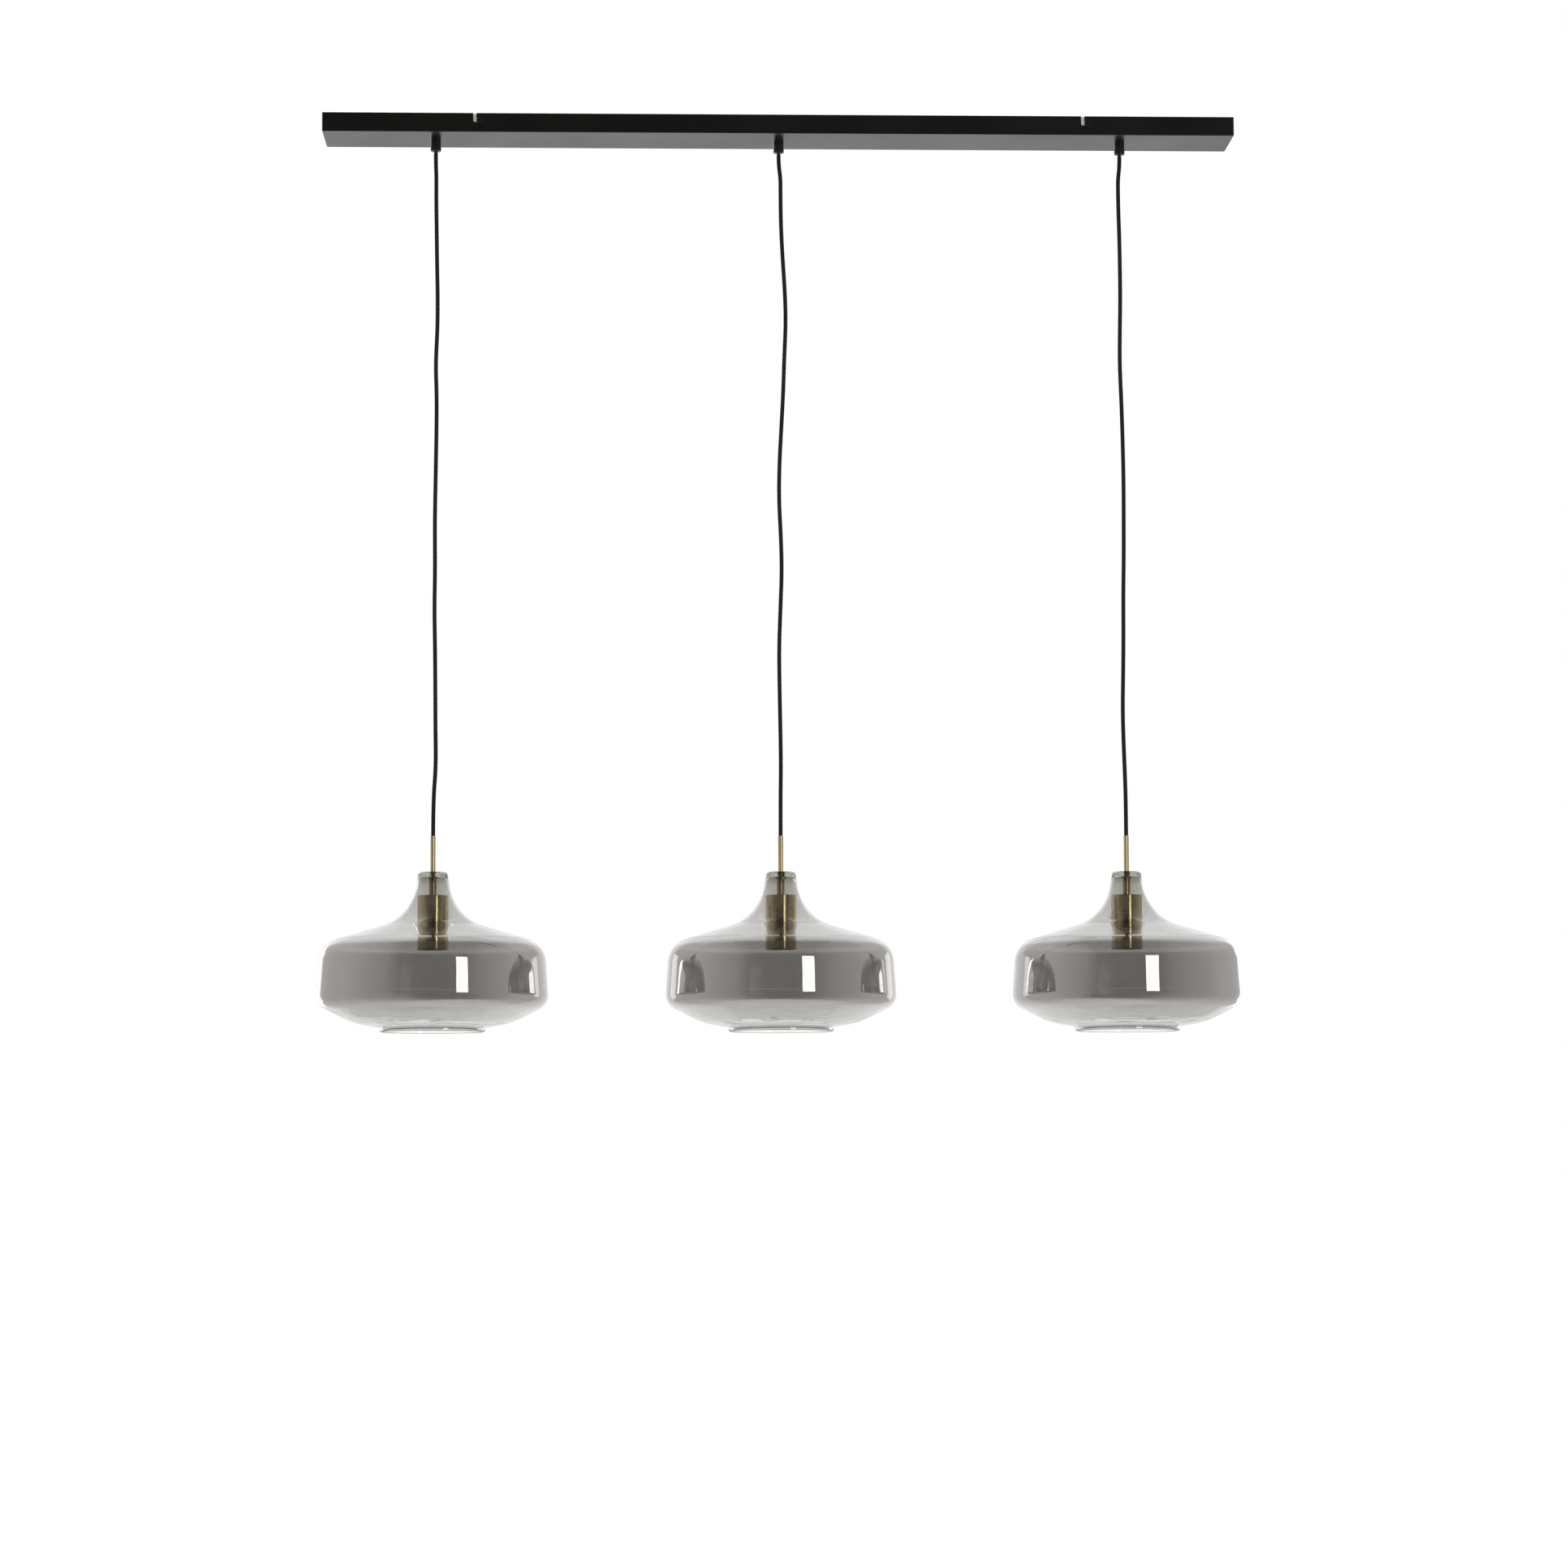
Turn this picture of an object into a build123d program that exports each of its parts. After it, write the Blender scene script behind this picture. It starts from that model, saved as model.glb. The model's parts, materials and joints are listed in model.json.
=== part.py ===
"""Ceiling pendant with three glass shades on one bar, in millimetres.

The origin is on the ceiling, at the middle of the bar. X runs along the bar, +Z is up, and -Y is the front.
"""
import os
from math import pi, radians, tan

from build123d import *

# General clearances
running_gap = 0.3  # between pieces that move past each other
thread_gap = 0.1  # radial, between a thread and its hole
cord_gap = 0.2  # radial, between the cord and a bore that it goes through

# Ceiling bar: a box of folded sheet, open towards the ceiling
bar_length = 1200.0
bar_depth = 90.0
bar_height = 25.0
bar_sheet = 1.2
bar_bend = 1.0  # outer radius of the folds
lamp_end_margin = 147.0  # from the bar's end to the outer lamps

# Ceiling brackets inside the bar
bracket_end_margin = 200.0  # from the bar's end to a bracket's middle
bracket_width = 30.0
bracket_sheet = 1.5
bracket_bend = 2.0
bracket_fit = 0.4  # between an ear and the bar's wall
ear_height = 18.0
ceiling_slot_width = 5.2
ceiling_slot_length = 14.0
ceiling_slot_pitch = 40.0

# Screws through the bar's L slots into the brackets' ears
side_screw_diameter = 4.0
side_screw_length = 8.0
side_screw_drop = 10.0  # below the ceiling
side_screw_shift = 7.0  # how far the bar slides along its slots
side_screw_slot_gap = 0.2
screw_head_diameter = 9.5
screw_head_height = 2.4
screw_recess_length = 5.0
screw_recess_width = 1.1
screw_recess_depth = 1.4

# Cord
cord_diameter = 5.4
cord_top_length = 40.0  # between the two places where the cord bends
cord_drop = 863.6  # from the lower bending place to the stem
arc_share = 0.45  # share of the shorter run that an arc takes up
grip_bend = 9.0  # bend of the cord above its grip

# Cord grip
grip_thread_diameter = 10.0
grip_flange_diameter = 14.0
grip_flange_height = 2.5
grip_nut_flats = 13.0
grip_nut_height = 3.0
grip_thread_spare = 0.8  # thread that shows above the nut
grip_cap_diameter = 14.0
grip_cap_length = 13.2
grip_cap_chamfer = 0.8
grip_cone_length = 3.5
grip_nose_length = 1.5  # straight part of the nose inside the cap
grip_nose_diameter = 8.0
grip_nose_reach = 0.4
grip_slit_width = 0.8
grip_slit_length = 9.0

# Terminal block and earth
block_place = 190.0
block_width = 21.0
block_length = 48.0
block_height = 15.0
block_edge = 1.0
block_poles = 4
block_pole_pitch = 11.0
block_row_pitch = 11.0
block_screw_diameter = 4.2
block_screw_height = 4.0
block_screw_recess = 1.0
block_screw_slot = 0.8
block_entry_height = 7.5
block_entry_spread = 8.0
earth_stud_x = 240.0
earth_stud_y = -22.0
earth_stud_diameter = 4.0
earth_stud_height = 8.0
earth_nut_flats = 7.0
earth_nut_height = 3.2
earth_lug_diameter = 8.0
earth_lug_thickness = 0.8
earth_wire_diameter = 2.2

# Stem and sleeve
stem_diameter = 7.0
stem_wall = 0.6
stem_exposed = 47.4
stem_seat = 12.0  # length of the stem in the sleeve
sleeve_diameter = 10.0
sleeve_length = 22.3
sleeve_flange_diameter = 13.0
sleeve_flange_height = 1.3
sleeve_thread_diameter = 8.0
sleeve_thread_in_holder = 8.0
gasket_height = 1.2

# Glass shade: corners of its outline are given as a radius and a drop below its top
glass_wall = 3.0
glass_top_thickness = 7.5
glass_stem_gap = 0.5
neck_radius = 18.5
neck_corner = 4.0
neck_foot_radius = 28.5
neck_foot_drop = 58.5
neck_sweep = 64.0
shoulder_radius = 145.8
shoulder_drop = 94.0
shoulder_round = 33.0
belly_radius = 151.0
belly_drop = 172.0
belly_round = 21.0
underside_radius = 102.0
underside_drop = 196.8
underside_round = 100.0
mouth_radius = 68.5
mouth_drop = 202.5
mouth_round = 2.0
lip_height = 5.5
lip_round = 1.2

# Lampholder and its cup
cup_diameter = 41.0
cup_length = 68.0
cup_plate = 1.2
cup_wall = 1.0
cup_edge = 0.8
cup_nut_flats = 13.0
cup_nut_height = 4.0
holder_diameter = 37.0
holder_boss_diameter = 16.0
holder_boss_height = 6.0
holder_roof = 2.5
holder_wall = 2.3
holder_chamber_diameter = 27.0
holder_recess = 2.0  # how far the holder's mouth stands back in the cup
holder_edge = 1.0
insert_depth = 28.8  # below the top of the holder
insert_thickness = 8.0
insert_gap = 0.2
insert_recess_diameter = 18.0
insert_recess_depth = 4.5
shell_bore = 26.8
shell_wall = 0.6
shell_length = 22.0
contact_width = 6.0
contact_length = 12.0
contact_thickness = 0.5
contact_lift = 3.0
tail_reach = 3.0  # length of the cord's jacket inside the holder's chamber
core_diameter = 2.0
core_spread = 1.4

# Places that follow from the sizes above
lamp_pitch = bar_length / 2 - lamp_end_margin
bracket_pitch = bar_length - 2 * bracket_end_margin
lamp_places = {"left": -lamp_pitch, "middle": 0.0, "right": lamp_pitch}
bracket_places = {"left": -bracket_pitch / 2, "right": bracket_pitch / 2}
side_screw_places = [place + side_screw_shift for place in bracket_places.values()]
bar_floor = -bar_height + bar_sheet
ear_face = bar_depth / 2 - bar_sheet - bracket_fit
cord_radius = cord_diameter / 2
cord_bore = cord_radius + cord_gap
grip_flange_bottom = -bar_height - grip_flange_height
cap_top = grip_flange_bottom - running_gap
cap_bottom = cap_top - grip_cap_length
nose_bottom = cap_bottom - grip_nose_reach
grip_top = bar_floor + grip_nut_height + grip_thread_spare
sway_height = nose_bottom - running_gap - cord_radius
swing_height = sway_height - cord_top_length
stem_top = swing_height - cord_drop
glass_top = stem_top - stem_exposed
flange_top = glass_top - glass_top_thickness - gasket_height
cup_top = flange_top - sleeve_length
cup_bottom = cup_top - cup_length
holder_top = cup_top - cup_plate - cup_nut_height
holder_shoulder = holder_top - holder_boss_height
holder_bottom = cup_bottom + holder_recess
insert_top = holder_top - insert_depth
insert_bottom = insert_top - insert_thickness
chamber_top = holder_shoulder - holder_roof
tail_bottom = chamber_top - tail_reach
sleeve_bottom = cup_top - cup_plate - cup_nut_height - sleeve_thread_in_holder
thread_radius = sleeve_thread_diameter / 2 - thread_gap
thread_hole = sleeve_thread_diameter / 2

# Routes of the hanging cords: (sideways, forwards, drop) below the lower bending place, chosen by eye
cord_routes = {
    "left": [
        (0.7, 0, 0), (0.7, 0, 24), (1.5, -0.6, 66), (2.2, -1.5, 110), (3.2, -1.0, 152),
        (3.0, 0.4, 194), (0.7, 1.2, 240), (2.4, 0.2, 286), (2.2, -1.1, 338), (1.4, -1.6, 396),
        (0.5, -0.6, 454), (1.1, 0.8, 512), (0.3, 1.5, 566), (1.5, 0.7, 620), (2.1, -0.5, 672),
        (2.5, -1.2, 724), (3.3, -0.3, 772), (0, 0, 816), (0, 0, cord_drop),
    ],
    "middle": [
        (2.4, 0, 0), (2.4, 0, 24), (3.1, 0.5, 62), (5.2, 1.3, 102), (7.9, 0.6, 144),
        (8.8, -0.8, 186), (6.6, -1.6, 232), (5.2, -0.7, 276), (2.6, 0.8, 324), (-0.2, 1.5, 374),
        (-0.9, 0.3, 422), (1.6, -1.0, 470), (2.6, -1.4, 516), (0.6, -0.2, 566), (-1.3, 1.0, 616),
        (-0.8, 1.6, 668), (0.1, 0.4, 720), (0.7, -0.8, 770), (0, 0, 816), (0, 0, cord_drop),
    ],
    "right": [
        (-2.2, 0, 0), (-2.2, 0, 24), (-1.3, -0.7, 62), (-0.9, -1.6, 104), (-0.7, -0.8, 150),
        (-1.6, 0.7, 196), (-2.2, 1.4, 238), (-0.4, 0.9, 288), (0.6, -0.4, 340), (1.2, -1.3, 394),
        (0.9, -0.6, 446), (0.6, 0.7, 498), (-0.5, 1.4, 550), (-0.8, 0.5, 602), (-1.9, -0.7, 652),
        (-3.1, -1.2, 700), (-2.0, -0.4, 748), (-0.5, 0.5, 790), (0, 0, 824), (0, 0, cord_drop),
    ],
}

# Route of the first stretch below a grip: (share of the lower end's shift sideways, share of its length)
top_route = [(0, 0), (0, 0.22), (0.42, 0.5), (1, 0.78), (1, 1)]

# Routes inside the bar: (share of the way from the grip to the block, forwards, height above the bar's floor)
inner_routes = {
    "left": [
        (0.066, -5, 13.0), (0.164, -13, 11.0), (0.266, -18, 9.0), (0.373, -14, 8.0), (0.477, -18, 7.6),
        (0.588, -22, 7.4), (0.696, -20, 7.6), (0.797, -15, 7.3), (0.889, -11, 7.6),
    ],
    "middle": [(0.245, 5, 13.0), (0.513, 11, 10.5), (0.758, 10, 8.0)],
    "right": [(0.174, 5, 13.0), (0.412, 11, 10.5), (0.642, 6, 8.2), (0.824, 2, 7.4)],
}
inner_ends = {"left": (-1, -1), "middle": (-1, 1), "right": (1, 0)}  # side of the block, place across
# Route of the earth lead: (along from the block's face, forwards, height above the bar's floor)
earth_route = [(12, -9.5, 7.0), (24, -15, 4.5), (33, -19, 2.0)]


def save(piece, name):
    """Labels a finished piece and writes it as a file of its own."""
    piece.part.label = name
    export_step(piece.part, f"parts/{name}.step")


def arc_radii(points):
    """The largest arcs that the runs beside each corner of a route leave room for."""
    radii = []
    for before, corner, after in zip(points, points[1:], points[2:]):
        run_in = corner - before
        run_out = after - corner
        half_turn = radians(run_in.get_angle(run_out)) / 2
        radii.append(arc_share * min(run_in.length, run_out.length) / tan(half_turn))
    return radii


def report_cord(name, piece, path, radii, radius):
    """Prints a cord's length, its tightest arc, and its volume against section times length."""
    length = path.wire().length
    ratio = piece.part.volume / (pi * radius**2 * length)
    print(f"{name}: length {length:.1f}, arcs {[round(arc) for arc in radii]}, volume ratio {ratio:.4f}")


def make_canopy():
    with BuildPart() as canopy:
        Box(bar_length, bar_depth, bar_height, align=(Align.CENTER, Align.CENTER, Align.MAX))
        fillet(canopy.edges().group_by(Axis.Z)[0] + canopy.edges().filter_by(Axis.Z), radius=bar_bend)
        with Locations((0, 0, bar_floor)):
            Box(
                bar_length - 2 * bar_sheet,
                bar_depth - 2 * bar_sheet,
                bar_height - bar_sheet,
                align=(Align.CENTER, Align.CENTER, Align.MIN),
                mode=Mode.SUBTRACT,
            )
        with BuildSketch(Plane.XY.offset(bar_floor)):
            with Locations(*[(place, 0) for place in lamp_places.values()]):
                Circle(grip_thread_diameter / 2 + thread_gap)
        extrude(amount=-bar_sheet, mode=Mode.SUBTRACT)
        leg = side_screw_diameter + 2 * side_screw_slot_gap
        with BuildSketch(Plane.XZ):
            for place in bracket_places.values():
                with Locations((place, -side_screw_drop)):
                    Rectangle(leg, side_screw_drop, align=(Align.CENTER, Align.MIN))
                with Locations((place + side_screw_shift / 2, -side_screw_drop)):
                    SlotCenterToCenter(side_screw_shift, leg)
        extrude(amount=bar_depth / 2, both=True, mode=Mode.SUBTRACT)
        with Locations((earth_stud_x, earth_stud_y, bar_floor)):
            Cylinder(
                earth_stud_diameter / 2 - thread_gap,
                earth_stud_height,
                align=(Align.CENTER, Align.CENTER, Align.MIN),
            )
    save(canopy, "canopy")


def make_bracket(side, place):
    with BuildPart() as bracket:
        with BuildSketch(Plane.YZ.offset(place)):
            Rectangle(2 * ear_face, ear_height, align=(Align.CENTER, Align.MAX))
            with Locations((0, -bracket_sheet)):
                Rectangle(
                    2 * (ear_face - bracket_sheet),
                    ear_height - bracket_sheet,
                    align=(Align.CENTER, Align.MAX),
                    mode=Mode.SUBTRACT,
                )
        extrude(amount=bracket_width / 2, both=True)
        along = bracket.edges().filter_by(Axis.X)
        fillet(along.group_by(Axis.Z)[-1], radius=bracket_bend)
        with BuildSketch():
            with Locations((place, 0)):
                with GridLocations(1, ceiling_slot_pitch, 1, 2):
                    SlotOverall(ceiling_slot_length, ceiling_slot_width)
        extrude(amount=-bracket_sheet, mode=Mode.SUBTRACT)
        with BuildSketch(Plane.XZ):
            with Locations((place + side_screw_shift, -side_screw_drop)):
                Circle(side_screw_diameter / 2)
        extrude(amount=bar_depth / 2, both=True, mode=Mode.SUBTRACT)
    save(bracket, f"bracket_{side}")


def make_side_screws():
    wall = bar_depth / 2
    with BuildPart() as side_screws:
        for front in (-1, 1):
            outwards = Plane(origin=(0, front * wall, -side_screw_drop), x_dir=(1, 0, 0), z_dir=(0, front, 0))
            with BuildSketch(outwards):
                with Locations(*[(place, 0) for place in side_screw_places]):
                    Circle(screw_head_diameter / 2)
            extrude(amount=screw_head_height)
            with BuildSketch(outwards):
                with Locations(*[(place, 0) for place in side_screw_places]):
                    Circle(side_screw_diameter / 2 - thread_gap)
            extrude(amount=-side_screw_length)
            with BuildSketch(outwards.offset(screw_head_height)):
                with Locations(*[(place, 0) for place in side_screw_places]):
                    Rectangle(screw_recess_length, screw_recess_width)
                    Rectangle(screw_recess_width, screw_recess_length)
            extrude(amount=-screw_recess_depth, mode=Mode.SUBTRACT)
        rims = side_screws.edges().filter_by(GeomType.CIRCLE)
        heads = [rim for rim in rims if abs(abs(rim.center().Y) - wall - screw_head_height) < thread_gap]
        fillet(heads, radius=screw_head_height / 3)
    save(side_screws, "canopy_side_screws")


def make_grip_nuts():
    with BuildPart() as grip_nuts:
        with BuildSketch(Plane.XY.offset(bar_floor)):
            with Locations(*[(place, 0) for place in lamp_places.values()]):
                RegularPolygon(grip_nut_flats / 2, 6, major_radius=False)
                Circle(grip_thread_diameter / 2, mode=Mode.SUBTRACT)
        extrude(amount=grip_nut_height)
    save(grip_nuts, "grip_nuts")


def make_grip_body(side, place):
    thread = grip_thread_diameter / 2 - thread_gap
    nose = grip_nose_diameter / 2
    cone_bottom = cap_bottom + grip_nose_length
    outline = [
        (cord_bore, grip_top),
        (thread, grip_top),
        (thread, -bar_height),
        (grip_flange_diameter / 2, -bar_height),
        (grip_flange_diameter / 2, grip_flange_bottom),
        (thread, grip_flange_bottom),
        (thread, cone_bottom + grip_cone_length),
        (nose, cone_bottom),
        (nose, nose_bottom),
        (cord_bore, nose_bottom),
    ]
    with BuildPart() as grip_body:
        with BuildSketch(Plane.XZ.shift_origin((place, 0, 0))):
            with BuildLine():
                Polyline(*outline, close=True)
            make_face()
        revolve(axis=Axis((place, 0, 0), (0, 0, 1)))
        with BuildSketch(Plane.XY.offset(nose_bottom)):
            with Locations((place, 0)):
                Rectangle(grip_flange_diameter, grip_slit_width)
                Rectangle(grip_slit_width, grip_flange_diameter)
        extrude(amount=grip_slit_length, mode=Mode.SUBTRACT)
    save(grip_body, f"grip_body_{side}")


def make_grip_cap(side, place):
    thread = grip_thread_diameter / 2 - thread_gap + running_gap
    nose = grip_nose_diameter / 2 + running_gap
    cone_bottom = cap_bottom + grip_nose_length
    outline = [
        (thread, cap_top),
        (grip_cap_diameter / 2, cap_top),
        (grip_cap_diameter / 2, cap_bottom + grip_cap_chamfer),
        (grip_cap_diameter / 2 - grip_cap_chamfer, cap_bottom),
        (nose, cap_bottom),
        (nose, cone_bottom),
        (thread, cone_bottom + grip_cone_length),
    ]
    with BuildPart() as grip_cap:
        with BuildSketch(Plane.XZ.shift_origin((place, 0, 0))):
            with BuildLine():
                Polyline(*outline, close=True)
            make_face()
        revolve(axis=Axis((place, 0, 0), (0, 0, 1)))
    save(grip_cap, f"grip_cap_{side}")


def make_inner_cord(side, place):
    face, across = inner_ends[side]
    entry = block_place + face * block_width / 2
    route = [(place, 0, nose_bottom), (place, 0, bar_floor + inner_routes[side][0][2])]
    for share, forwards, height in inner_routes[side]:
        route.append((place + share * (entry - place), forwards, bar_floor + height))
    route.append((entry, across * block_entry_spread, bar_floor + block_entry_height))
    points = [Vector(*point) for point in route]
    radii = arc_radii(points)
    radii[0] = min(radii[0], grip_bend)
    with BuildPart() as inner_cord:
        with BuildLine() as path:
            FilletPolyline(*points, radius=radii)
        with BuildSketch(Plane(origin=path.line @ 0, z_dir=path.line % 0)):
            Circle(cord_radius)
        sweep(path=path.line)
        with BuildSketch(Plane.YZ.offset(entry)):
            Rectangle(bar_depth, 2 * bar_height)
        extrude(amount=-face * cord_diameter, mode=Mode.SUBTRACT)
    report_cord(f"inner_cord_{side}", inner_cord, path, radii, cord_radius)
    save(inner_cord, f"inner_cord_{side}")


def make_terminal_block():
    block_top = bar_floor + block_height
    with BuildPart() as terminal_block:
        with Locations((block_place, 0, bar_floor)):
            Box(block_width, block_length, block_height, align=(Align.CENTER, Align.CENTER, Align.MIN))
        fillet(terminal_block.edges().filter_by(Axis.Z), radius=block_edge)
        fillet(terminal_block.faces().sort_by(Axis.Z)[-1].edges(), radius=block_edge / 2)
        with BuildSketch(Plane.XY.offset(block_top)):
            with Locations((block_place, 0)):
                with GridLocations(block_row_pitch, block_pole_pitch, 2, block_poles):
                    Circle(block_screw_diameter / 2 + thread_gap)
        extrude(amount=-block_screw_recess - block_screw_height, mode=Mode.SUBTRACT)
    save(terminal_block, "terminal_block")

    screw_top = block_top - block_screw_recess
    with BuildPart() as terminal_screws:
        with BuildSketch(Plane.XY.offset(screw_top)):
            with Locations((block_place, 0)):
                with GridLocations(block_row_pitch, block_pole_pitch, 2, block_poles):
                    Circle(block_screw_diameter / 2)
        extrude(amount=-block_screw_height)
        with BuildSketch(Plane.XY.offset(screw_top)):
            with Locations((block_place, 0)):
                with GridLocations(block_row_pitch, block_pole_pitch, 2, block_poles):
                    Rectangle(block_screw_diameter, block_screw_slot)
        extrude(amount=-block_screw_slot, mode=Mode.SUBTRACT)
    save(terminal_screws, "terminal_screws")


def make_earth():
    lug_top = bar_floor + earth_lug_thickness
    with BuildPart() as earth_nut:
        with BuildSketch(Plane.XY.offset(lug_top)):
            with Locations((earth_stud_x, earth_stud_y)):
                RegularPolygon(earth_nut_flats / 2, 6, major_radius=False)
                Circle(earth_stud_diameter / 2, mode=Mode.SUBTRACT)
        extrude(amount=earth_nut_height)
    save(earth_nut, "earth_nut")

    wire_radius = earth_wire_diameter / 2
    face = block_place + block_width / 2
    last_x, last_y, last_height = earth_route[-1]
    start = (face, earth_route[0][1], bar_floor + block_entry_height)
    route = [start]
    for along, forwards, height in earth_route:
        route.append((face + along, forwards, bar_floor + height))
    points = [Vector(*point) for point in route]
    radii = arc_radii(points)
    with BuildPart() as earth_lead:
        with BuildLine() as path:
            FilletPolyline(*points, radius=radii)
        with BuildSketch(Plane(origin=path.line @ 0, z_dir=path.line % 0)):
            Circle(wire_radius)
        sweep(path=path.line)
        with BuildSketch(Plane.YZ.offset(face)):
            Rectangle(bar_depth, 2 * bar_height)
        extrude(amount=-earth_wire_diameter, mode=Mode.SUBTRACT)
        with BuildSketch(Plane.XY.offset(bar_floor)):
            with Locations((earth_stud_x, earth_stud_y)):
                Circle(earth_lug_diameter / 2)
            tab_middle = ((face + last_x + earth_stud_x) / 2, (last_y + earth_stud_y) / 2)
            with Locations(tab_middle):
                Rectangle(2 * earth_wire_diameter + earth_stud_x - face - last_x, 2 * earth_wire_diameter)
            with Locations((earth_stud_x, earth_stud_y)):
                Circle(earth_stud_diameter / 2 + thread_gap, mode=Mode.SUBTRACT)
        extrude(amount=earth_lug_thickness)
        with BuildSketch(Plane.XY.offset(bar_floor)):
            with Locations((face + last_x, last_y)):
                Circle(earth_wire_diameter)
        extrude(amount=last_height + wire_radius)
    save(earth_lead, "earth_lead")


def make_cord_top(side, place):
    shift = cord_routes[side][0][0]
    points = [
        Vector(place + share * shift, 0, sway_height - drop * cord_top_length)
        for share, drop in top_route
    ]
    radii = arc_radii(points)
    with BuildPart() as cord_top:
        with BuildLine() as path:
            FilletPolyline(*points, radius=radii)
        with BuildSketch(Plane(origin=path.line @ 0, z_dir=path.line % 0)):
            Circle(cord_radius)
        sweep(path=path.line)
        report_cord(f"cord_top_{side}", cord_top, path, radii, cord_radius)
        with Locations((place, 0, sway_height)):
            Sphere(cord_radius)
    save(cord_top, f"cord_top_{side}")


def make_cord(side, place):
    route = cord_routes[side]
    points = [Vector(place + sideways, forwards, swing_height - drop) for sideways, forwards, drop in route]
    radii = arc_radii(points)
    with BuildPart() as cord:
        with BuildLine() as path:
            FilletPolyline(*points, radius=radii)
        with BuildSketch(Plane(origin=path.line @ 0, z_dir=path.line % 0)):
            Circle(cord_radius)
        sweep(path=path.line)
    report_cord(f"cord_{side}", cord, path, radii, cord_radius)
    save(cord, f"cord_{side}")


def make_cord_tail(side, place):
    with BuildPart() as cord_tail:
        with BuildSketch(Plane.XY.offset(tail_bottom)):
            with Locations((place, 0)):
                Circle(cord_radius)
        extrude(amount=stem_top - tail_bottom)
        with BuildSketch(Plane.XY.offset(insert_top)):
            with Locations((place, 0)):
                with GridLocations(2 * core_spread, 1, 2, 1):
                    Circle(core_diameter / 2)
        extrude(amount=tail_bottom - insert_top)
    save(cord_tail, f"cord_tail_{side}")


def make_stem_tube(side, place):
    stem_bottom = flange_top - stem_seat
    with BuildPart() as stem_tube:
        with BuildSketch(Plane.XY.offset(stem_bottom)):
            with Locations((place, 0)):
                Circle(stem_diameter / 2)
                Circle(stem_diameter / 2 - stem_wall, mode=Mode.SUBTRACT)
        extrude(amount=stem_top - stem_bottom)
    save(stem_tube, f"stem_tube_{side}")


def make_sleeve(side, place):
    stem_bore = stem_diameter / 2 + thread_gap
    outline = [
        (stem_bore, flange_top),
        (sleeve_flange_diameter / 2, flange_top),
        (sleeve_flange_diameter / 2, flange_top - sleeve_flange_height),
        (sleeve_diameter / 2, flange_top - sleeve_flange_height),
        (sleeve_diameter / 2, cup_top),
        (thread_radius, cup_top),
        (thread_radius, sleeve_bottom),
        (cord_bore, sleeve_bottom),
        (cord_bore, flange_top - stem_seat),
        (stem_bore, flange_top - stem_seat),
    ]
    with BuildPart() as sleeve:
        with BuildSketch(Plane.XZ.shift_origin((place, 0, 0))):
            with BuildLine():
                Polyline(*outline, close=True)
            make_face()
        revolve(axis=Axis((place, 0, 0), (0, 0, 1)))
    save(sleeve, f"sleeve_{side}")


def make_gasket(side, place):
    with BuildPart() as gasket:
        with BuildSketch(Plane.XY.offset(flange_top)):
            with Locations((place, 0)):
                Circle(sleeve_flange_diameter / 2)
                Circle(stem_diameter / 2 + glass_stem_gap, mode=Mode.SUBTRACT)
        extrude(amount=gasket_height)
    save(gasket, f"glass_gasket_{side}")


def make_glass(side, place):
    bore = stem_diameter / 2 + glass_stem_gap
    outline = [
        (bore, 0),
        (neck_radius, 0),
        (neck_foot_radius, neck_foot_drop),
        (shoulder_radius, shoulder_drop),
        (belly_radius, belly_drop),
        (underside_radius, underside_drop),
        (mouth_radius, mouth_drop),
        (mouth_radius, mouth_drop + lip_height),
    ]
    rounds = [neck_corner, neck_sweep, shoulder_round, belly_round, underside_round, mouth_round]
    with BuildPart() as glass:
        with BuildSketch(Plane.XZ.shift_origin((place, 0, 0))):
            with BuildLine():
                corners = [(radius, glass_top - drop) for radius, drop in outline]
                outer = FilletPolyline(*corners, radius=rounds)
                offset(outer, amount=glass_wall, side=Side.RIGHT, closed=True)
            make_face()
        revolve(axis=Axis((place, 0, 0), (0, 0, 1)))
        lip_edges = glass.edges().filter_by(GeomType.CIRCLE).group_by(Axis.Z)[0]
        fillet(lip_edges, radius=lip_round)
        with BuildSketch(Plane.XY.offset(glass_top - glass_top_thickness)):
            with Locations((place, 0)):
                Circle(neck_radius - glass_wall / 2)
                Circle(bore, mode=Mode.SUBTRACT)
        extrude(amount=glass_top_thickness - glass_wall / 2)
    save(glass, f"glass_shade_{side}")


def make_cup(side, place):
    radius = cup_diameter / 2
    with BuildPart() as cup:
        with BuildSketch(Plane.XY.offset(cup_bottom)):
            with Locations((place, 0)):
                Circle(radius)
        extrude(amount=cup_length)
        fillet(cup.edges().group_by(Axis.Z)[-1], radius=cup_edge)
        with BuildSketch(Plane.XY.offset(cup_bottom)):
            with Locations((place, 0)):
                Circle(radius - cup_wall)
        extrude(amount=cup_length - cup_plate, mode=Mode.SUBTRACT)
        with BuildSketch(Plane.XY.offset(cup_top)):
            with Locations((place, 0)):
                Circle(thread_hole)
        extrude(amount=-cup_plate, mode=Mode.SUBTRACT)
    save(cup, f"holder_cup_{side}")


def make_cup_nut(side, place):
    with BuildPart() as cup_nut:
        with BuildSketch(Plane.XY.offset(holder_top)):
            with Locations((place, 0)):
                RegularPolygon(cup_nut_flats / 2, 6, major_radius=False)
                Circle(thread_hole, mode=Mode.SUBTRACT)
        extrude(amount=cup_nut_height)
    save(cup_nut, f"cup_nut_{side}")


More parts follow.
